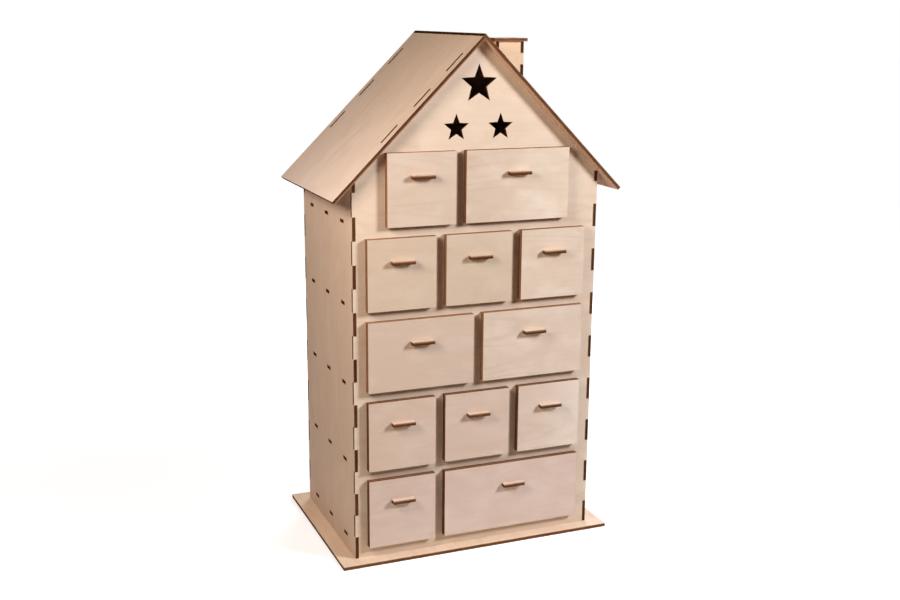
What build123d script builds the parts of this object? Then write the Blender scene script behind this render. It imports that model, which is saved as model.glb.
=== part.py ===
from build123d import *
import os
from math import cos, radians, sin, tan

# A two-sided advent calendar: a house of laser-cut plywood with drawers in its front and back.
# Millimetres. The front faces -Y and the origin is the middle of the base's underside.

# Sheet and joints
SHEET = 3.0  # plywood thickness of every piece
FINGER = 20.0  # corner finger, and the tabs of the walls, dividers and drawers
SLOT_CLEARANCE = 0.05  # room all round a tab in its slot

# Drawer fronts
ROW_WIDTH = 200.0  # a full row of fronts, edge to edge
FRONT_GAP = 9.0  # between fronts, sideways and upwards
FULL_ROW = 6  # a full row is this many units wide
ROWS = [(2, 3), (2, 2, 2), (3, 3), (2, 2, 2), (2, 4)]  # fronts of each row in units, top row first
FRONT_OVERLAP = 4.0  # how far a front covers the wall round its opening
FRONTS_OFFSET = -1.5  # middle of the fronts and stars, off the middle of the house

# House body
ROW_PITCH = 70.0  # from shelf to shelf
LOWEST_SHELF = 11.5  # from the base up to the lowest shelf
ROW_MARGIN = 12.5  # outside a full row to outside the side walls, on average
BODY_DEPTH = 146.0  # outside the front wall to outside the back wall
SHELF_TAB = 10.0
SHELF_TAB_SPACING = 45.3
SHELF_TABS = 3  # on each side of a shelf
DIVIDER_TAB_MARGIN = 24.5  # from a divider's end to its tab
MIDDLE_TAB_MARGIN = 14.0  # from a middle wall's end to its tab
BASE_TAB_MARGIN = 40.0  # from a wall's end to its tab in the base
BASE_SIDE_MARGIN = 14.5
BASE_END_MARGIN = 13.0

# Star cut-outs in the gables
STAR_POINTS = 5
STAR_WAIST = 0.43  # radius to the inner corners, as a share of that to the points
BIG_STAR = 16.7  # radius to the points
SMALL_STAR = 11.7
BIG_STAR_DROP = 36.7  # from the gable's top to the star's middle
SMALL_STAR_RISE = 18.2  # from the top row of fronts up to the star's middle
SMALL_STAR_SPACING = 40.0

# Roof and chimney
ROOF_PITCH = 45.0  # degrees
TOP_ROW_MARGIN = 7.7  # from the top row's upper corners sideways to the roof, on average
EAVES_OVERHANG = 26.6  # along the slope, past the side wall
VERGE_OVERHANG = 8.5  # past the front and back walls
ROOF_TAB_START = 19.5  # from the gable's top down the slope to the first tab
CHIMNEY_WIDTH = 27.0
CHIMNEY_X = 53.5
CHIMNEY_DROP = 7.8  # from the ridge down to the chimney's top edge
CHIMNEY_FINGER = 10.0
CAP_OVERHANG = 2.5

# Drawers
RUNNING_CLEARANCE = 0.3  # under a drawer
SIDE_CLEARANCE = 0.5  # on each side of a drawer in its opening
TOP_CLEARANCE = 1.5
BACK_CLEARANCE = 3.0  # from a closed drawer to the middle wall
CLOSING_GAP = 0.1  # from a closed front to the wall
HANDLE_WIDTH = 20.0
HANDLE_REACH = 5.5
HANDLE_TENON = 12.0
HANDLE_DROP = 20.0  # from the front's upper edge to the handle

# Sizes that follow
UNIT = (ROW_WIDTH + FRONT_GAP) / FULL_ROW
FRONT_HEIGHT = ROW_PITCH - FRONT_GAP
OPENING_HEIGHT = FRONT_HEIGHT - 2 * FRONT_OVERLAP
BODY_WIDTH = ROW_WIDTH + 2 * ROW_MARGIN
INNER_WIDTH = BODY_WIDTH - 2 * SHEET
INNER_DEPTH = BODY_DEPTH - 2 * SHEET
BASE_TOP = SHEET
LOWEST_FLOOR = BASE_TOP + LOWEST_SHELF + SHEET
TOP_FLOOR = LOWEST_FLOOR + ROW_PITCH * (len(ROWS) - 1)
TOP_ROW_WIDTH = UNIT * sum(ROWS[0]) - FRONT_GAP
SLOPE_COS = cos(radians(ROOF_PITCH))
SLOPE_SIN = sin(radians(ROOF_PITCH))
SLOPE_TAN = tan(radians(ROOF_PITCH))
TOP_FRONT_EDGE = TOP_FLOOR - FRONT_OVERLAP + FRONT_HEIGHT
WALL_TOP = TOP_FRONT_EDGE - ((BODY_WIDTH - TOP_ROW_WIDTH) / 2 - TOP_ROW_MARGIN) * SLOPE_TAN
GABLE_TOP = WALL_TOP + BODY_WIDTH / 2 * SLOPE_TAN
RIDGE = GABLE_TOP + SHEET / SLOPE_COS
CHIMNEY_TOP = RIDGE - CHIMNEY_DROP
SLOPE_LENGTH = BODY_WIDTH / 2 / SLOPE_COS
CORNER_FINGERS = int((WALL_TOP - BASE_TOP) // FINGER) + 1
ROOF_TABS = int((SLOPE_LENGTH - ROOF_TAB_START) // (2 * FINGER))
SLOT_WIDTH = SHEET + 2 * SLOT_CLEARANCE
FINGER_SLOT = FINGER + 2 * SLOT_CLEARANCE

os.makedirs("parts", exist_ok=True)


def floor_of(row):
    """Height of the shelf's upper face under a row of drawers."""
    return TOP_FLOOR - ROW_PITCH * row


def columns(row):
    """Middle and width of each drawer front in a row, from left to right."""
    start = FRONTS_OFFSET - (UNIT * sum(ROWS[row]) - FRONT_GAP) / 2
    fronts = []
    for units in ROWS[row]:
        width = UNIT * units - FRONT_GAP
        fronts.append((start + width / 2, width))
        start += width + FRONT_GAP
    return fronts


def divider_places(row):
    """Middle of each gap between the fronts of a row."""
    return [middle + (width + FRONT_GAP) / 2 for middle, width in columns(row)[:-1]]


def level_height(row):
    """Height of the dividers and the middle wall that stand on a row's shelf."""
    return OPENING_HEIGHT + SHEET if row == 0 else ROW_PITCH - SHEET


def middle_width(row):
    """Width of a row's middle wall. Under the roof it is as wide as the drawers."""
    return TOP_ROW_WIDTH if row == 0 else INNER_WIDTH


def tab_places(length, margin):
    """Middles of the two tabs on an edge of this length."""
    reach = length / 2 - margin - FINGER / 2
    return [-reach, reach]


def roof_height(x):
    """Height of the roof's upper face at a distance from the ridge."""
    return RIDGE - abs(x) * SLOPE_TAN


def roof_tab_distances():
    """Middles of a gable's roof tabs, measured down the slope from the gable's top."""
    return [ROOF_TAB_START + FINGER / 2 + 2 * FINGER * tab for tab in range(ROOF_TABS)]


def gable_tab_places():
    """Middle of each roof tab on the gable's two slopes, turned along the slope."""
    places = []
    for side in (-1, 1):
        for distance in roof_tab_distances():
            point = (side * distance * SLOPE_COS, GABLE_TOP - distance * SLOPE_SIN, 0)
            places.append(Location(point, (0, 0, -side * ROOF_PITCH)))
    return places


def finger_rows(first):
    """Middle height and length of every other corner finger, cut off at the wall's top."""
    fingers = []
    for finger in range(first, CORNER_FINGERS, 2):
        low = BASE_TOP + FINGER * finger
        high = min(low + FINGER, WALL_TOP)
        fingers.append(((low + high) / 2, high - low))
    return fingers


def star_corners(radius):
    """Corners of a star with one point up."""
    step = 180 / STAR_POINTS
    corners = []
    for corner in range(2 * STAR_POINTS):
        reach = radius * STAR_WAIST if corner % 2 else radius
        angle = radians(90 + step * corner)
        corners.append((reach * cos(angle), reach * sin(angle)))
    return corners


def keep(piece, name):
    """Label a finished piece and write its file."""
    piece.label = name
    export_step(piece, f"parts/{name}.step")


def base_plate():
    """Base with a slot for each tab of the walls."""
    wall_x = (BODY_WIDTH - SHEET) / 2
    wall_y = (BODY_DEPTH - SHEET) / 2
    with BuildPart() as base:
        with BuildSketch(Plane.XY):
            Rectangle(BODY_WIDTH + 2 * BASE_SIDE_MARGIN, BODY_DEPTH + 2 * BASE_END_MARGIN)
            for x in tab_places(INNER_WIDTH, BASE_TAB_MARGIN):
                with Locations((x, -wall_y), (x, wall_y)):
                    Rectangle(FINGER_SLOT, SLOT_WIDTH, mode=Mode.SUBTRACT)
            for y in tab_places(BODY_DEPTH, BASE_TAB_MARGIN):
                with Locations((-wall_x, y), (wall_x, y)):
                    Rectangle(SLOT_WIDTH, FINGER_SLOT, mode=Mode.SUBTRACT)
        extrude(amount=SHEET)
    return base


def gable_wall(rear_y):
    """Front or back wall: a gable with drawer openings, stars, corner fingers and roof tabs."""
    with BuildPart() as wall:
        with BuildSketch(Plane.XZ.offset(-rear_y)):
            with BuildLine():
                Polyline(
                    (-BODY_WIDTH / 2, BASE_TOP),
                    (BODY_WIDTH / 2, BASE_TOP),
                    (BODY_WIDTH / 2, WALL_TOP),
                    (0, GABLE_TOP),
                    (-BODY_WIDTH / 2, WALL_TOP),
                    close=True,
                )
            make_face()
            with Locations(*gable_tab_places()):
                Rectangle(FINGER, SHEET, align=(Align.CENTER, Align.MIN))
            for x in tab_places(INNER_WIDTH, BASE_TAB_MARGIN):
                with Locations((x, 0)):
                    Rectangle(FINGER, BASE_TOP, align=(Align.CENTER, Align.MIN))
            for z, length in finger_rows(first=0):
                with GridLocations(BODY_WIDTH - SHEET, 0, 2, 1), Locations((0, z)):
                    Rectangle(SHEET, length, mode=Mode.SUBTRACT)
            for row in range(len(ROWS)):
                for x, width in columns(row):
                    with Locations((x, floor_of(row))):
                        Rectangle(
                            width - 2 * FRONT_OVERLAP,
                            OPENING_HEIGHT,
                            align=(Align.CENTER, Align.MIN),
                            mode=Mode.SUBTRACT,
                        )
            with Locations((FRONTS_OFFSET, GABLE_TOP - BIG_STAR_DROP)):
                Polygon(*star_corners(BIG_STAR), align=None, mode=Mode.SUBTRACT)
            with Locations((FRONTS_OFFSET, TOP_FRONT_EDGE + SMALL_STAR_RISE)):
                with GridLocations(SMALL_STAR_SPACING, 0, 2, 1):
                    Polygon(*star_corners(SMALL_STAR), align=None, mode=Mode.SUBTRACT)
        extrude(amount=SHEET)
    return wall


def side_wall(left_x):
    """Left or right wall with a slot for each tab of the shelves."""
    with BuildPart() as wall:
        with BuildSketch(Plane.YZ.offset(left_x)):
            with Locations((0, BASE_TOP)):
                Rectangle(BODY_DEPTH, WALL_TOP - BASE_TOP, align=(Align.CENTER, Align.MIN))
            for y in tab_places(BODY_DEPTH, BASE_TAB_MARGIN):
                with Locations((y, 0)):
                    Rectangle(FINGER, BASE_TOP, align=(Align.CENTER, Align.MIN))
            for z, length in finger_rows(first=1):
                with GridLocations(BODY_DEPTH - SHEET, 0, 2, 1), Locations((0, z)):
                    Rectangle(SHEET, length, mode=Mode.SUBTRACT)
            for row in range(len(ROWS)):
                with Locations((0, floor_of(row) - SHEET / 2)):
                    with GridLocations(SHELF_TAB_SPACING, 0, SHELF_TABS, 1):
                        Rectangle(SHELF_TAB + 2 * SLOT_CLEARANCE, SLOT_WIDTH, mode=Mode.SUBTRACT)
        extrude(amount=SHEET)
    return wall


def shelf(row):
    """Shelf under a row, with tabs through the side walls and slots for what stands on it."""
    with BuildPart() as board:
        with BuildSketch(Plane.XY.offset(floor_of(row) - SHEET)):
            Rectangle(INNER_WIDTH, INNER_DEPTH)
            with GridLocations(0, SHELF_TAB_SPACING, 1, SHELF_TABS):
                Rectangle(BODY_WIDTH, SHELF_TAB)
            for x in divider_places(row):
                for y in tab_places(INNER_DEPTH, DIVIDER_TAB_MARGIN):
                    with Locations((x, y)):
                        Rectangle(SLOT_WIDTH, FINGER_SLOT, mode=Mode.SUBTRACT)
            for x in tab_places(middle_width(row), MIDDLE_TAB_MARGIN):
                with Locations((x, 0)):
                    Rectangle(FINGER_SLOT, SLOT_WIDTH, mode=Mode.SUBTRACT)
        extrude(amount=SHEET)
    return board


def divider(row, x):
    """Upright board between two drawers, slotted from above for the middle wall."""
    floor = floor_of(row)
    height = level_height(row)
    with BuildPart() as board:
        with BuildSketch(Plane.YZ.offset(x - SHEET / 2)):
            with Locations((0, floor)):
                Rectangle(INNER_DEPTH, height, align=(Align.CENTER, Align.MIN))
            for y in tab_places(INNER_DEPTH, DIVIDER_TAB_MARGIN):
                with Locations((y, floor)):
                    Rectangle(FINGER, SHEET, align=(Align.CENTER, Align.MAX))
            with Locations((0, floor + height)):
                Rectangle(
                    SLOT_WIDTH,
                    height / 2,
                    align=(Align.CENTER, Align.MAX),
                    mode=Mode.SUBTRACT,
                )
        extrude(amount=SHEET)
    return board


def middle_wall(row):
    """Wall between the front and back drawers, slotted from below for the dividers."""
    floor = floor_of(row)
    height = level_height(row)
    with BuildPart() as wall:
        with BuildSketch(Plane.XZ.offset(-SHEET / 2)):
            with Locations((0, floor)):
                Rectangle(middle_width(row), height, align=(Align.CENTER, Align.MIN))
            for x in tab_places(middle_width(row), MIDDLE_TAB_MARGIN):
                with Locations((x, floor)):
                    Rectangle(FINGER, SHEET, align=(Align.CENTER, Align.MAX))
            for x in divider_places(row):
                with Locations((x, floor)):
                    Rectangle(
                        SLOT_WIDTH,
                        height / 2,
                        align=(Align.CENTER, Align.MIN),
                        mode=Mode.SUBTRACT,
                    )
        extrude(amount=SHEET)
    return wall


def roof_panel(side):
    """One slope of the roof. The right panel ends at the ridge and the left one stops under it."""
    length = SLOPE_LENGTH + EAVES_OVERHANG
    lap = SHEET / sin(radians(2 * ROOF_PITCH))
    ridge = Vector(0, RIDGE)
    lapped = ridge - Vector(lap * SLOPE_COS, lap * SLOPE_SIN)
    upper_end = [lapped, ridge] if side > 0 else [Vector(0, GABLE_TOP), lapped]
    eaves = ridge + Vector(side * length * SLOPE_COS, -length * SLOPE_SIN)
    eaves_below = eaves - Vector(side * SHEET * SLOPE_SIN, SHEET * SLOPE_COS)
    slope = Plane(
        origin=(0, 0, RIDGE),
        x_dir=(side * SLOPE_COS, 0, -SLOPE_SIN),
        z_dir=(side * SLOPE_SIN, 0, SLOPE_COS),
    )
    with BuildPart() as panel:
        with BuildSketch(Plane.XZ):
            with BuildLine():
                Polyline(*upper_end, eaves, eaves_below, close=True)
            make_face()
        extrude(amount=BODY_DEPTH / 2 + VERGE_OVERHANG, both=True)
        with BuildSketch(slope):
            for distance in roof_tab_distances():
                with Locations((distance + SHEET * SLOPE_TAN, 0)):
                    with GridLocations(0, BODY_DEPTH - SHEET, 1, 2):
                        Rectangle(FINGER_SLOT, SLOT_WIDTH)
            if side > 0:
                with Locations((CHIMNEY_X / SLOPE_COS, 0)):
                    with GridLocations(0, CHIMNEY_WIDTH - SHEET, 1, 2):
                        Rectangle(CHIMNEY_FINGER + 2 * SLOT_CLEARANCE, SLOT_WIDTH)
        extrude(amount=-SHEET, mode=Mode.SUBTRACT)
    return panel


def chimney_finger_rows(first, low):
    """Middle height of every other chimney finger, from the top down past its lower end."""
    count = int((CHIMNEY_TOP - low) // CHIMNEY_FINGER) + 1
    first_middle = CHIMNEY_TOP - CHIMNEY_FINGER / 2
    return [first_middle - CHIMNEY_FINGER * finger for finger in range(first, count, 2)]


def chimney_gable(rear_y):
    """Front or back wall of the chimney, cut to the slope, with a tab through the roof."""
    left = CHIMNEY_X - CHIMNEY_WIDTH / 2
    right = CHIMNEY_X + CHIMNEY_WIDTH / 2
    with BuildPart() as wall:
        with BuildSketch(Plane.XZ.offset(-rear_y)):
            with BuildLine():
                Polyline(
                    (left, roof_height(left)),
                    (right, roof_height(right)),
                    (right, CHIMNEY_TOP),
                    (left, CHIMNEY_TOP),
                    close=True,
                )
            make_face()
            with Locations(Location((CHIMNEY_X, roof_height(CHIMNEY_X), 0), (0, 0, -ROOF_PITCH))):
                Rectangle(CHIMNEY_FINGER, SHEET, align=(Align.CENTER, Align.MAX))
            for x in (left + SHEET / 2, right - SHEET / 2):
                for z in chimney_finger_rows(first=0, low=roof_height(x)):
                    with Locations((x, z)):
                        Rectangle(SHEET, CHIMNEY_FINGER, mode=Mode.SUBTRACT)
        extrude(amount=SHEET)
    return wall


def chimney_side(left_x):
    """Left or right wall of the chimney, standing on the slope with its higher lower edge."""
    foot = roof_height(left_x)
    with BuildPart() as wall:
        with BuildSketch(Plane.YZ.offset(left_x)):
            with Locations((0, foot)):
                Rectangle(CHIMNEY_WIDTH, CHIMNEY_TOP - foot, align=(Align.CENTER, Align.MIN))
            for z in chimney_finger_rows(first=1, low=foot):
                with GridLocations(CHIMNEY_WIDTH - SHEET, 0, 2, 1), Locations((0, z)):
                    Rectangle(SHEET, CHIMNEY_FINGER, mode=Mode.SUBTRACT)
        extrude(amount=SHEET)
    return wall


def chimney_cap():
    """Square plate on the chimney's walls."""
    cap_width = CHIMNEY_WIDTH + 2 * CAP_OVERHANG
    with BuildPart() as cap:
        with BuildSketch(Plane.XY.offset(CHIMNEY_TOP)):
            with Locations((CHIMNEY_X, 0)):
                Rectangle(cap_width, cap_width)
        extrude(amount=SHEET)
    return cap


def drawer_pieces(middle, width, floor):
    """The plates of one drawer in the front wall: a tabbed box, a double front and a handle."""
    box_width = width - 2 * FRONT_OVERLAP - 2 * SIDE_CLEARANCE
    box_height = OPENING_HEIGHT - RUNNING_CLEARANCE - TOP_CLEARANCE
    box_floor = floor + RUNNING_CLEARANCE
    box_middle = box_floor + box_height / 2
    box_front = -BODY_DEPTH / 2 - CLOSING_GAP
    box_back = -SHEET / 2 - BACK_CLEARANCE
    side_length = box_back - SHEET - box_front
    side_middle = box_front + side_length / 2
    front_middle = floor - FRONT_OVERLAP + FRONT_HEIGHT / 2
    handle_height = floor - FRONT_OVERLAP + FRONT_HEIGHT - HANDLE_DROP

    with BuildPart() as inner_front:
        with BuildSketch(Plane.XZ.offset(-box_front)):
            with Locations((middle, front_middle)):
                Rectangle(width, FRONT_HEIGHT)
            with Locations((middle, box_middle)):
                with GridLocations(box_width - SHEET, 0, 2, 1):
                    Rectangle(SLOT_WIDTH, FINGER_SLOT, mode=Mode.SUBTRACT)
        extrude(amount=SHEET)

    with BuildPart() as outer_front:
        with BuildSketch(Plane.XZ.offset(-box_front + SHEET)):
            with Locations((middle, front_middle)):
                Rectangle(width, FRONT_HEIGHT)
            with Locations((middle, handle_height)):
                Rectangle(
                    HANDLE_TENON + 2 * SLOT_CLEARANCE,
                    SLOT_WIDTH,
                    mode=Mode.SUBTRACT,
                )
        extrude(amount=SHEET)

    with BuildPart() as handle:
        with BuildSketch(Plane.XY.offset(handle_height - SHEET / 2)):
            with Locations((middle, box_front - SHEET)):
                Rectangle(HANDLE_TENON, SHEET, align=(Align.CENTER, Align.MAX))
            with Locations((middle, box_front - 2 * SHEET)):
                Rectangle(HANDLE_WIDTH, HANDLE_REACH, align=(Align.CENTER, Align.MAX))
        extrude(amount=SHEET)

    sides = []
    for side_x in (middle - box_width / 2, middle + box_width / 2 - SHEET):
        with BuildPart() as side:
            with BuildSketch(Plane.YZ.offset(side_x)):
                with Locations((side_middle, box_middle)):
                    Rectangle(side_length, box_height)
                    Rectangle(side_length + 2 * SHEET, FINGER)
                with Locations((side_middle, box_floor)):
                    Rectangle(
                        FINGER,
                        SHEET,
                        align=(Align.CENTER, Align.MIN),
                        mode=Mode.SUBTRACT,
                    )
            extrude(amount=SHEET)
        sides.append(side)

    with BuildPart() as back:
        with BuildSketch(Plane.XZ.offset(-box_back)):
            with Locations((middle, box_middle)):
                Rectangle(box_width, box_height)
                with GridLocations(box_width - SHEET, 0, 2, 1):
                    Rectangle(SHEET, FINGER, mode=Mode.SUBTRACT)
        extrude(amount=SHEET)

    with BuildPart() as bottom:
        with BuildSketch(Plane.XY.offset(box_floor)):
            with Locations((middle, side_middle)):
                Rectangle(box_width - 2 * SHEET, side_length)
                Rectangle(box_width, FINGER)
        extrude(amount=SHEET)

    return [inner_front, outer_front, handle, *sides, back, bottom]


def turned_round(pieces):
    """The same pieces on the other side of the house."""
    mirrored = []
    for piece in pieces:
        with BuildPart() as copy:
            mirror(piece.part, about=Plane.XZ)
        mirrored.append(copy)
    return mirrored


# The house
keep(base_plate().part, "base_plate")
keep(gable_wall(-INNER_DEPTH / 2).part, "front_wall")
keep(gable_wall(BODY_DEPTH / 2).part, "back_wall")
keep(side_wall(-BODY_WIDTH / 2).part, "left_wall")
keep(side_wall(INNER_WIDTH / 2).part, "right_wall")
for row in range(len(ROWS)):
    keep(shelf(row).part, f"shelf_{row + 1}")
    keep(middle_wall(row).part, f"middle_wall_{row + 1}")
    for number, x in enumerate(divider_places(row), start=1):
        keep(divider(row, x).part, f"divider_{row + 1}_{number}")

# The roof and chimney
keep(roof_panel(-1).part, "left_roof")
keep(roof_panel(1).part, "right_roof")
keep(chimney_gable(SHEET - CHIMNEY_WIDTH / 2).part, "chimney_front")
keep(chimney_gable(CHIMNEY_WIDTH / 2).part, "chimney_back")
keep(chimney_side(CHIMNEY_X - CHIMNEY_WIDTH / 2).part, "chimney_left")
keep(chimney_side(CHIMNEY_X + CHIMNEY_WIDTH / 2 - SHEET).part, "chimney_right")
keep(chimney_cap().part, "chimney_cap")

# The drawers of the front and the back
for row in range(len(ROWS)):
    for number, (middle, width) in enumerate(columns(row), start=1):
        pieces = drawer_pieces(middle, width, floor_of(row))
        front_drawer = Compound(children=[piece.part for piece in pieces])
        keep(front_drawer, f"front_drawer_{row + 1}_{number}")
        back_drawer = Compound(children=[piece.part for piece in turned_round(pieces)])
        keep(back_drawer, f"back_drawer_{row + 1}_{number}")
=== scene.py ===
import math
import random

import bpy
import numpy as np
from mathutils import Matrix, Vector

# The looks of a plywood advent calendar. Metres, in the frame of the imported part.
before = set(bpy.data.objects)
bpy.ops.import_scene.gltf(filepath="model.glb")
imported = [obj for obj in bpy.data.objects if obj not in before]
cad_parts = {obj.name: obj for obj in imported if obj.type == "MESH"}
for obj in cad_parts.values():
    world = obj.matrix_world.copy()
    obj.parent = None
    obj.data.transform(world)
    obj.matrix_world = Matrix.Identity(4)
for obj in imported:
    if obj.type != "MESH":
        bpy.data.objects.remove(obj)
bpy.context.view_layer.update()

# Plywood
SHEET = 0.003
SHEET_TOLERANCE = 0.00005
BOARD_SPREAD = 4.0  # how far apart two faces may lie on the sheet they are cut from
FACING = 0.9  # an axis that makes up more than this of a normal is the one the face looks along
UPRIGHT = 0.01  # an edge whose normal has less than this of the vertical stands upright
ACROSS_GRAIN = 0.5  # a cut whose normal has more than this of the grain runs across it

# Colours, linear
HOUSE_VENEER = (0.760, 0.588, 0.430)
DRAWER_VENEER = (0.745, 0.580, 0.432)
PINK_TINT = (0.745, 0.572, 0.435)
LATE_WOOD = (0.57, 0.395, 0.255)
PORE = (0.46, 0.300, 0.180)
PALE_PATCH = (0.83, 0.675, 0.525)
SCORCH = (0.40, 0.200, 0.105)
FACE_PLY = (0.52, 0.350, 0.228)
BURNT = (0.295, 0.132, 0.061)
CHAR = (0.050, 0.014, 0.004)

# Sheets that are lighter or darker than the rest, by a part of the node's name: partly the sheets' own tone,
# partly painted light and shade that make up for how the lamps light the front, the base and the left roof
SHEET_TONES_AND_PAINTED_LIGHT = {
    "front_wall": (1.06, 1.08, 1.09),
    "left_wall": (0.99, 0.95, 0.98),
    "left_roof": (1.12, 1.11, 1.19),
    "right_roof": (1.00, 0.99, 1.00),
    "base": (1.22, 1.20, 1.17),
    "chimney": (1.17, 1.06, 0.96),
    "drawer_1_1": (0.94, 0.95, 1.00),
    "drawer_1": (0.975, 0.995, 1.03),
    "drawer_2_3": (1.01, 1.04, 1.09),
    "drawer_2": (0.91, 0.915, 0.92),
    "drawer_3_1": (0.93, 0.93, 0.98),
    "drawer_3": (1.00, 1.04, 1.09),
    "drawer_4_3": (1.035, 1.09, 1.19),
    "drawer_4": (0.95, 0.95, 1.01),
    "drawer_5": (0.955, 0.95, 1.06),
}
PLAIN_SHADE = (1, 1, 1)
# Painted shade: the roof's undersides darker and warmer, as shade and warm bounce under the overhang make
# them
ROOF_UNDERSIDE_PAINTED_SHADE = np.array((0.80, 0.68, 0.63))

# Sheets that pale along the grain from one end to the other, and sheets with a strong figure. On the left
# roof the fade is painted light: lighter and less yellow towards the eaves
SHEET_FADES = {
    "drawer_1_2": (0.16, 0.20, 0.20),
    "drawer_4_3": (0.10, 0.15, 0.18),
    "left_roof": (-0.08, -0.18, -0.32),
}
NO_FADE = (0, 0, 0)
FIGURES = {"drawer_1_2": 2.4, "drawer_2_3": 1.7, "drawer_3_2": 1.8, "drawer_5_2": 1.3}
PLAIN_FIGURE = 1.0

# Veneer: waves per metre along and across the grain
CONTOUR_WAVES = (5.0, 26.0)
STREAK_WAVES = (28.0, 900.0)
MOTTLE_WAVES = (45.0, 90.0)
CLOUD_WAVES = (9.0, 16.0)
PATCH_WAVES = (26.0, 44.0)
PORE_WAVES = (380.0, 5200.0)
RINGS = 75.0  # radians of growth rings over the contour noise

# Veneer: the part of each noise that shows, and the shares of colour it is turned into
RING_RANGE = (0.2, 1.0)
FIGURE_CLOUDS = (0.35, 0.65)
FIGURE_SHARES = (0.03, 0.13)
STREAK_RANGE = (0.35, 0.75)
STREAK_SHARES = (0.0, 0.10)
MOTTLE_RANGE = (0.45, 0.75)
MOTTLE_CLOUDS = (0.55, 0.70)
MOTTLE_SHARES = (0.06, 0.22)
PATCH_RANGE = (0.38, 0.72)
PATCH_SHARES = (0.0, 0.45)
PORE_RANGE = (0.66, 0.74)
PORE_SHARE = 0.35
RIM_RADIUS = 0.0008
RIM_RANGE = (0.72, 1.0)
RIM_SHARE = 0.35
VENEER_ROUGH_RANGE = (0.3, 0.8)
VENEER_ROUGHNESS = (0.58, 0.70)
VENEER_GLOSS = 0.1
VENEER_RELIEF = 0.25
RELIEF_DEPTH = 0.0001

# How far the cut edges are charred, from 0 to 1, by a part of the node's name. Drawer 1_2's edges are made
# darker as painted shade, for its plate sides that stand in the shaded gap beside drawer 1_1
CHAR_AND_PAINTED_SHADE_LEVELS = {
    # drawer_1_2: painted shade for its plate sides in the gap, which darkens all its edges
    "drawer_1_2": 0.25,
    "drawer_3": 0.01,
    "drawer_4": 0.38,
    "drawer_5": 0.36,
    "drawer": 0.06,
    "chimney": 0.32,
    "roof": 0.58,
    "base": 0.22,
}
CHAR_OTHERS = 0.45
CHAR_ROOF_END = 0.87
CHAR_END_GRAIN = 0.18  # added on cuts across the grain
CHAR_HANDLE = 0.46
CHAR_FINGER = 0.70
CHAR_TAB = 0.80
CHAR_SPREAD = 0.08
SHORT_EDGE = 0.025  # handles, fingers and tabs are shorter than this
CHAR_LEANS = {"left_roof": 0.28}  # how much darker an edge's upper ply is than its middle
# Painted highlight: the handles' front edges are lighter in their upper part, standing for their lit top
# faces
HANDLE_LEAN_PAINTED_HIGHLIGHT = -0.38
NO_LEAN = 0.0

# Burnt edges: places out from the middle of the sheet, and what changes the char
CORE_END = (0.00040, 0.00060)
GLUE_START = (0.00042, 0.00050)
GLUE_END = (0.00050, 0.00058)
FACE_PLY_START = (0.0006, 0.0010)
FACE_PLY_CHAR = 0.60  # the char at which the face plies are as dark as the core
CORE_CHAR = 0.15
GLUE_CHAR = 0.25
BURN_WAVES = (90.0, 700.0)
BURN_RANGE = (0.25, 0.75)
BURN_CHAR = (0.12, -0.12)
STROKE_WAVES = (2600.0, 300.0)
STROKE_RANGE = (0.3, 0.7)
STROKE_CHAR = (0.06, -0.06)
EDGE_ROUGH_RANGE = (0.3, 0.8)
EDGE_ROUGHNESS = (0.62, 0.85)
EDGE_RELIEF = 0.4

# Camera at the photograph's place
PICTURE_WIDTH = 900
FOCAL_PIXELS = 1185.6
SENSOR = 36.0
CAMERA_PLACE = (-0.39840, -0.98195, 0.46293)
CAMERA_YAW = -22.546
CAMERA_PITCH = -13.478
CAMERA_ROLL = 0.531
CAMERA_SHIFT = (-0.0059, -0.0004)

# Studio
FLOOR_SIZE = 24.0
FLOOR_DROP = 0.0002
FLOOR_NEAR_COLOUR = (0.86, 0.82, 0.77)  # as the object's lower parts see it
FLOOR_FAR_COLOUR = (0.30, 0.20, 0.12)
FLOOR_NEAR_REACH = (0.18, 0.42)  # distances from the house's middle
FLOOR_SEEN_COLOUR = (0.9, 0.9, 0.9, 1)
FLOOR_GLOW_REACH = (0.25, 0.90)  # distances from the house
FLOOR_GLOW = (0.54, 1.0)
WORLD_COLOUR = (1, 1, 1, 1)
WORLD_LIGHT = 0.002
WORLD_SEEN_LIGHT = 1.0
KEY_WHITE = (0.90, 0.935, 1.0)
FILL_WHITE = (1.0, 0.885, 0.79)
LAMPS = {  # place, aim, size, power and colour
    "key": ((0.63, -0.68, 0.67), (0.0, -0.07, 0.22), 0.22, 9.5, KEY_WHITE),
    "fill": ((-0.43, -0.29, 0.52), (-0.08, 0.0, 0.25), 0.19, 2.32, FILL_WHITE),
    "back": ((0.42, 0.80, 0.45), (0.0, 0.07, 0.22), 0.40, 6.0, KEY_WHITE),
}

# Shader ranges, and the sockets of a node that mixes two colours
RISING = (0.0, 1.0)
FALLING = (1.0, 0.0)
BOTH_WAYS = (-1.0, 1.0)
MIX_SHARE = 0
MIX_FIRST = 6
MIX_SECOND = 7
MIX_RESULT = 2


def unit(vector):
    """A vector's direction."""
    return vector / np.linalg.norm(vector)


def flat_faces(mesh):
    """Each flat face of the plates: the numbers of its vertices and of its polygons."""
    leader = list(range(len(mesh.vertices)))

    def find(vertex):
        while leader[vertex] != vertex:
            leader[vertex] = leader[leader[vertex]]
            vertex = leader[vertex]
        return vertex

    for polygon in mesh.polygons:
        first = find(polygon.vertices[0])
        for vertex in polygon.vertices[1:]:
            leader[find(vertex)] = first
    faces = {}
    for vertex in range(len(leader)):
        faces.setdefault(find(vertex), ([], []))[0].append(vertex)
    for polygon in mesh.polygons:
        faces[find(polygon.vertices[0])][1].append(polygon.index)
    return list(faces.values())


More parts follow.
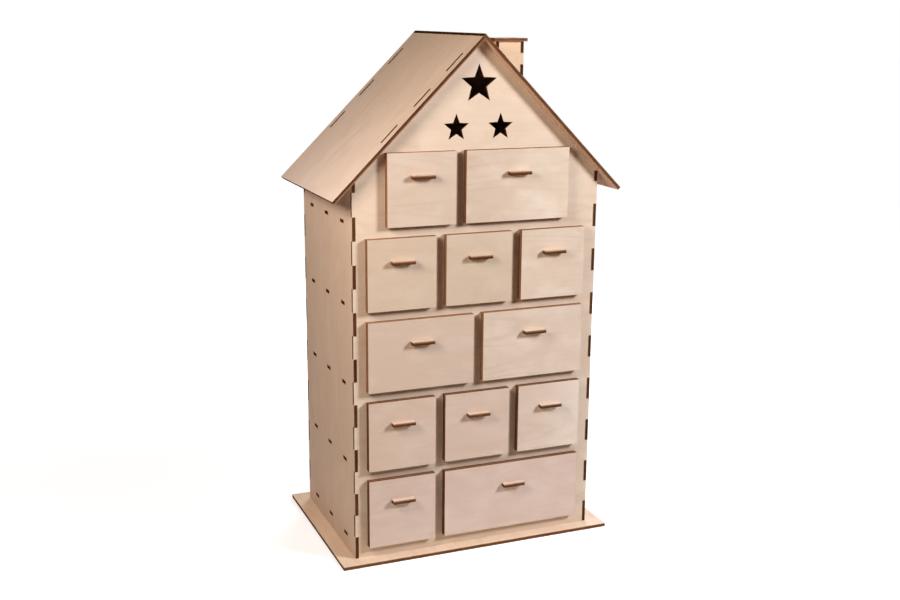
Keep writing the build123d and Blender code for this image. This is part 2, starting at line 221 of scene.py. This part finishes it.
def thin_direction(points, normal):
    """The direction in which a flat face is one sheet wide, or None for a face of the veneer."""
    start = np.array((1.0, 0, 0)) if abs(normal[1]) > FACING else np.array((0, 1.0, 0))
    first = unit(start - normal * start.dot(normal))
    second = np.cross(normal, first)
    for direction in (first, second, unit(first + second), unit(first - second)):
        if abs(np.ptp(points @ direction) - SHEET) < SHEET_TOLERANCE:
            return direction if direction[2] > -SHEET_TOLERANCE else -direction
    return None


def grain_direction(normal, node):
    """The veneer's grain: level on what faces front and down the slope on the roof."""
    start = np.array((1.0, 0, 0))
    if node == "base_plate":
        start = np.array((0, 1.0, 0))
    elif abs(normal[0]) > FACING:
        start = np.array((0, 0, 1.0)) if node.endswith("wall") else np.array((0, 1.0, 0))
    return unit(start - normal * start.dot(normal))


def look_up(table, node, otherwise):
    """The table's value for a node, by a part of the node's name."""
    for part, value in table.items():
        if part in node:
            return value
    return otherwise


def burn(node, normal, thin, length):
    """How dark a cut edge is, and its lean. Tabs and long cuts across the grain are almost black. The
    handles' negative lean is a painted highlight: the upper part of their front edges lighter, for their lit
    tops.
    """
    lean = look_up(CHAR_LEANS, node, NO_LEAN)
    if length < SHORT_EDGE:
        if "drawer" in node:
            # The handles' lean is a painted highlight on the upper part of their front edges
            return CHAR_HANDLE, HANDLE_LEAN_PAINTED_HIGHLIGHT
        is_finger = node.endswith("wall") and abs(normal[2]) < UPRIGHT
        return CHAR_FINGER if is_finger else CHAR_TAB, lean
    level = look_up(CHAR_AND_PAINTED_SHADE_LEVELS, node, CHAR_OTHERS)
    if abs(grain_direction(thin, node).dot(normal)) < ACROSS_GRAIN:
        return level, lean
    return CHAR_ROOF_END if "roof" in node else level + CHAR_END_GRAIN, lean


def fade(node, reach):
    """How a sheet's tone changes along the grain, about its middle; on the left roof this is painted light,
    lighter towards the eaves.
    """
    share = (reach - reach.min()) / np.ptp(reach) - 0.5
    return 1 + np.outer(share, look_up(SHEET_FADES, node, NO_FADE))


def store(mesh, name, values):
    """Keep a number or a vector for each vertex, where the materials read it."""
    if values.ndim == 1:
        mesh.attributes.new(name, "FLOAT", "POINT").data.foreach_set("value", values)
    else:
        mesh.attributes.new(name, "FLOAT_VECTOR", "POINT").data.foreach_set("vector", values.ravel())


def lay_out_boards(node):
    """Give a node's vertices their place on the sheet, and mark the burnt edges of its plates."""
    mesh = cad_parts[node].data
    places = np.array([vertex.co for vertex in mesh.vertices])
    count = len(places)
    board = np.zeros((count, 3), np.float32)
    tint = np.zeros(count, np.float32)
    char = np.zeros(count, np.float32)
    lean = np.zeros(count, np.float32)
    figure = np.full(count, look_up(FIGURES, node, PLAIN_FIGURE), np.float32)
    # Each sheet's tone per vertex; it carries painted light and shade too, from the tone table, the left
    # roof's fade and the roof's undersides
    shade = np.tile(np.array(look_up(SHEET_TONES_AND_PAINTED_LIGHT, node, PLAIN_SHADE), np.float32), (count, 1))
    for number, (vertices, polygons) in enumerate(flat_faces(mesh)):
        chance = random.Random(f"{node} {number}")
        points = places[vertices]
        normal = np.array(mesh.polygons[polygons[0]].normal)
        thin = thin_direction(points, normal)
        offset = [chance.uniform(0, BOARD_SPREAD) for axis in range(3)]
        if thin is None:
            along = grain_direction(normal, node)
            across = np.cross(normal, along)
            # Painted light on the left roof: its fade makes it lighter towards the eaves
            shade[vertices] *= fade(node, points @ along)
        else:
            along = np.cross(thin, normal)
            across = thin
            offset[1] = -((points @ thin).max() + (points @ thin).min()) / 2
            level, lean[vertices] = burn(node, normal, thin, np.ptp(points @ along))
            char[vertices] = level + chance.uniform(-CHAR_SPREAD, CHAR_SPREAD)
        board[vertices] = np.column_stack(
            (points @ along + offset[0], points @ across + offset[1], np.full(len(points), offset[2]))
        )
        tint[vertices] = chance.random()
        # Painted shade: the roof's faces that look down are made darker and warmer
        if "roof" in node and normal[2] < 0:
            shade[vertices] *= ROOF_UNDERSIDE_PAINTED_SHADE
        for polygon in polygons:
            mesh.polygons[polygon].material_index = 0 if thin is None else 1
    store(mesh, "board", board)
    store(mesh, "tint", tint)
    store(mesh, "char", char)
    store(mesh, "lean", lean)
    store(mesh, "shade", shade)
    store(mesh, "figure", figure)


def set_input(tree, socket, value):
    """Link an input to another node's output, or set its value."""
    if isinstance(value, bpy.types.NodeSocket):
        tree.links.new(value, socket)
    else:
        socket.default_value = value


def add_node(tree, kind, inputs, **settings):
    """A shader node with its settings and inputs."""
    made = tree.nodes.new(kind)
    for name, value in settings.items():
        setattr(made, name, value)
    for socket, value in inputs.items():
        set_input(tree, made.inputs[socket], value)
    return made


def calculate(tree, operation, first, second=0.0, clamp=False):
    """One sum of the shader's numbers."""
    made = add_node(tree, "ShaderNodeMath", {0: first, 1: second}, operation=operation, use_clamp=clamp)
    return made.outputs[0]


def spread(tree, value, from_range, to_range=RISING):
    """A number's range stretched smoothly onto another."""
    inputs = {
        "Value": value,
        "From Min": from_range[0],
        "From Max": from_range[1],
        "To Min": to_range[0],
        "To Max": to_range[1],
    }
    made = add_node(tree, "ShaderNodeMapRange", inputs, interpolation_type="SMOOTHSTEP")
    return made.outputs["Result"]


def mix_colour(tree, share, first, second, blend="MIX"):
    """Two colours mixed by a share."""
    made = add_node(tree, "ShaderNodeMix", {}, data_type="RGBA", blend_type=blend)
    set_input(tree, made.inputs[MIX_SHARE], share)
    for socket, colour in ((MIX_FIRST, first), (MIX_SECOND, second)):
        set_input(tree, made.inputs[socket], (*colour, 1) if isinstance(colour, tuple) else colour)
    return made.outputs[MIX_RESULT]


def grain_noise(tree, board, waves, detail=2.0, roughness=0.5, distortion=0.0):
    """Noise stretched along the grain, with its waves per metre along and across."""
    along, across = waves
    scaled = add_node(
        tree, "ShaderNodeVectorMath", {0: board, 1: (along, across, across)}, operation="MULTIPLY"
    )
    inputs = {
        "Vector": scaled.outputs[0],
        "Scale": 1.0,
        "Detail": detail,
        "Roughness": roughness,
        "Distortion": distortion,
    }
    return add_node(tree, "ShaderNodeTexNoise", inputs).outputs["Fac"]


def new_material(name):
    """A material, its nodes and its shader."""
    material = bpy.data.materials.new(name)
    material.use_nodes = True
    tree = material.node_tree
    return material, tree, tree.nodes["Principled BSDF"]


def attribute(tree, name, output):
    """A value stored on the boards."""
    return add_node(tree, "ShaderNodeAttribute", {}, attribute_name=name).outputs[output]


def add_relief(tree, shader, strength, height):
    """Fine relief on a surface."""
    inputs = {"Strength": strength, "Distance": RELIEF_DEPTH, "Height": height}
    bump = add_node(tree, "ShaderNodeBump", inputs)
    tree.links.new(bump.outputs[0], shader.inputs["Normal"])


def browned_rim(tree, wood):
    """Wood that is browned along its sharp edges."""
    rounded = add_node(tree, "ShaderNodeBevel", {"Radius": RIM_RADIUS}, samples=4).outputs[0]
    flat = add_node(tree, "ShaderNodeNewGeometry", {}).outputs["True Normal"]
    turn = add_node(tree, "ShaderNodeVectorMath", {0: rounded, 1: flat}, operation="DOT_PRODUCT")
    rim = spread(tree, turn.outputs["Value"], RIM_RANGE, FALLING)
    return mix_colour(tree, calculate(tree, "MULTIPLY", rim, RIM_SHARE), wood, SCORCH)


def veneer(name, colour):
    """Bare rotary-cut veneer: contour figure, fine streaks, mottling, pores and a browned rim."""
    material, tree, shader = new_material(name)
    board = attribute(tree, "board", "Vector")
    tint = attribute(tree, "tint", "Fac")
    shade = attribute(tree, "shade", "Vector")
    strength = attribute(tree, "figure", "Fac")

    contour = grain_noise(tree, board, CONTOUR_WAVES, detail=1.5, distortion=0.35)
    rings = calculate(tree, "SINE", calculate(tree, "MULTIPLY", contour, RINGS))
    streaks = grain_noise(tree, board, STREAK_WAVES, detail=3.0, roughness=0.6)
    mottle = grain_noise(tree, board, MOTTLE_WAVES, detail=3.0, roughness=0.55)
    cloud = grain_noise(tree, board, CLOUD_WAVES, detail=1.0)
    patches = grain_noise(tree, board, PATCH_WAVES, distortion=0.6)
    pores = spread(tree, grain_noise(tree, board, PORE_WAVES, detail=1.0), PORE_RANGE)

    pale = calculate(tree, "MULTIPLY", spread(tree, patches, PATCH_RANGE, PATCH_SHARES), strength)
    tinted = mix_colour(tree, pale, mix_colour(tree, tint, colour, PINK_TINT), PALE_PATCH)
    # Multiply in the sheet's tone, which also carries painted light and shade
    tinted = mix_colour(tree, 1.0, tinted, shade, "MULTIPLY")

    ring_share = spread(tree, cloud, FIGURE_CLOUDS, FIGURE_SHARES)
    ring_lines = calculate(tree, "MULTIPLY", spread(tree, rings, RING_RANGE), ring_share)
    mottle_share = spread(tree, cloud, MOTTLE_CLOUDS, MOTTLE_SHARES)
    mottling = calculate(tree, "MULTIPLY", spread(tree, mottle, MOTTLE_RANGE), mottle_share)
    marks = calculate(tree, "MULTIPLY", calculate(tree, "ADD", ring_lines, mottling), strength)
    streaking = spread(tree, streaks, STREAK_RANGE, STREAK_SHARES)
    late = calculate(tree, "ADD", marks, streaking, clamp=True)
    wood = mix_colour(tree, late, tinted, LATE_WOOD)
    wood = mix_colour(tree, calculate(tree, "MULTIPLY", pores, PORE_SHARE), wood, PORE)

    tree.links.new(browned_rim(tree, wood), shader.inputs["Base Color"])
    roughness = spread(tree, streaks, VENEER_ROUGH_RANGE, VENEER_ROUGHNESS)
    tree.links.new(roughness, shader.inputs["Roughness"])
    shader.inputs["Specular IOR Level"].default_value = VENEER_GLOSS
    add_relief(tree, shader, VENEER_RELIEF, calculate(tree, "SUBTRACT", streaks, pores))
    return material


def burnt_edge(name):
    """The laser-cut edge of the plywood: charred layers with the darkest in the middle."""
    material, tree, shader = new_material(name)
    board = attribute(tree, "board", "Vector")
    across = add_node(tree, "ShaderNodeSeparateXYZ", {0: board}).outputs["Y"]
    from_middle = calculate(tree, "ABSOLUTE", across)
    upper = spread(tree, across, (-SHEET / 2, SHEET / 2), BOTH_WAYS)
    core = spread(tree, from_middle, CORE_END, FALLING)
    glue = calculate(
        tree, "MULTIPLY", spread(tree, from_middle, GLUE_START), spread(tree, from_middle, GLUE_END, FALLING)
    )
    flames = grain_noise(tree, board, BURN_WAVES, detail=3.0, roughness=0.65)
    strokes = grain_noise(tree, board, STROKE_WAVES, detail=1.0)

    share = calculate(tree, "MULTIPLY", attribute(tree, "lean", "Fac"), upper)
    share = calculate(tree, "ADD", share, attribute(tree, "char", "Fac"))
    share = calculate(tree, "ADD", share, spread(tree, flames, BURN_RANGE, BURN_CHAR))
    share = calculate(tree, "ADD", share, spread(tree, strokes, STROKE_RANGE, STROKE_CHAR))
    share = calculate(tree, "ADD", share, calculate(tree, "MULTIPLY", core, CORE_CHAR))
    share = calculate(tree, "ADD", share, calculate(tree, "MULTIPLY", glue, GLUE_CHAR), clamp=True)
    charred = mix_colour(tree, share, BURNT, CHAR)
    unburnt = calculate(tree, "SUBTRACT", FACE_PLY_CHAR, share, clamp=True)
    face_ply = calculate(tree, "MULTIPLY", unburnt, spread(tree, from_middle, FACE_PLY_START))
    charred = mix_colour(tree, face_ply, charred, FACE_PLY)

    tree.links.new(charred, shader.inputs["Base Color"])
    roughness = spread(tree, flames, EDGE_ROUGH_RANGE, EDGE_ROUGHNESS)
    tree.links.new(roughness, shader.inputs["Roughness"])
    shader.inputs["Specular IOR Level"].default_value = 0.0
    add_relief(tree, shader, EDGE_RELIEF, strokes)
    return material


def dress_boards():
    """Lay every node's plates out on the sheet and give them veneer and burnt edges."""
    house = (veneer("house_veneer", HOUSE_VENEER), burnt_edge("house_burnt_edge"))
    drawer = (veneer("drawer_veneer", DRAWER_VENEER), burnt_edge("drawer_burnt_edge"))
    for node in sorted(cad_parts):
        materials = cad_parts[node].data.materials
        materials.clear()
        for material in drawer if "drawer" in node else house:
            materials.append(material)
        lay_out_boards(node)


def seen_directly(tree):
    """1 for rays from the camera, and through gloss or glass."""
    path = add_node(tree, "ShaderNodeLightPath", {})
    seen = calculate(tree, "MAXIMUM", path.outputs["Is Camera Ray"], path.outputs["Is Glossy Ray"])
    return calculate(tree, "MAXIMUM", seen, path.outputs["Is Transmission Ray"])


def build_floor():
    """A plain white floor that keeps the shadow."""
    bpy.ops.mesh.primitive_plane_add(size=FLOOR_SIZE, location=(0, 0, -FLOOR_DROP))
    floor = bpy.context.object
    floor.name = "floor"
    material, tree, shader = new_material("white_floor")
    tree.nodes.remove(shader)
    shaded = add_node(tree, "ShaderNodeBsdfDiffuse", {"Color": FLOOR_SEEN_COLOUR}).outputs[0]
    place = add_node(tree, "ShaderNodeNewGeometry", {}).outputs["Position"]
    distance = add_node(tree, "ShaderNodeVectorMath", {0: place}, operation="LENGTH").outputs["Value"]
    colour = mix_colour(tree, spread(tree, distance, FLOOR_NEAR_REACH), FLOOR_NEAR_COLOUR, FLOOR_FAR_COLOUR)
    bounced = add_node(tree, "ShaderNodeBsdfDiffuse", {"Color": colour}).outputs[0]
    strength = spread(tree, distance, FLOOR_GLOW_REACH, FLOOR_GLOW)
    glow = add_node(tree, "ShaderNodeEmission", {"Strength": strength}).outputs[0]
    lit = add_node(tree, "ShaderNodeAddShader", {0: shaded, 1: glow}).outputs[0]
    mixed = add_node(tree, "ShaderNodeMixShader", {0: seen_directly(tree), 1: bounced, 2: lit})
    tree.links.new(mixed.outputs[0], tree.nodes["Material Output"].inputs["Surface"])
    floor.data.materials.append(material)


def build_world():
    """White where it is seen, and a faint even light."""
    world = bpy.data.worlds.new("studio")
    world.use_nodes = True
    tree = world.node_tree
    background = tree.nodes["Background"]
    background.inputs["Color"].default_value = WORLD_COLOUR
    strength = spread(tree, seen_directly(tree), RISING, (WORLD_LIGHT, WORLD_SEEN_LIGHT))
    tree.links.new(strength, background.inputs["Strength"])
    bpy.context.scene.world = world


def add_lamp(name, place, aim, size, power, colour):
    """A square soft lamp turned towards a point."""
    lamp = bpy.data.lights.new(name, "AREA")
    lamp.size = size
    lamp.energy = power
    lamp.color = colour
    holder = bpy.data.objects.new(name, lamp)
    holder.location = place
    holder.visible_camera = False
    holder.rotation_euler = (Vector(aim) - Vector(place)).to_track_quat("-Z", "Y").to_euler()
    bpy.context.scene.collection.objects.link(holder)


def build_camera():
    """The camera at the photograph's place and angle."""
    lens = bpy.data.cameras.new("camera")
    lens.sensor_width = SENSOR
    lens.lens = SENSOR * FOCAL_PIXELS / PICTURE_WIDTH
    lens.shift_x, lens.shift_y = CAMERA_SHIFT
    camera = bpy.data.objects.new("camera", lens)
    camera.location = CAMERA_PLACE
    camera.rotation_euler = (math.radians(90 + CAMERA_PITCH), 0, math.radians(CAMERA_YAW))
    camera.rotation_euler.rotate_axis("Z", math.radians(CAMERA_ROLL))
    bpy.context.scene.collection.objects.link(camera)
    bpy.context.scene.camera = camera


dress_boards()
build_floor()
build_world()
for lamp_name, settings in LAMPS.items():
    add_lamp(lamp_name, *settings)
build_camera()
bpy.context.scene.view_settings.view_transform = "Standard"
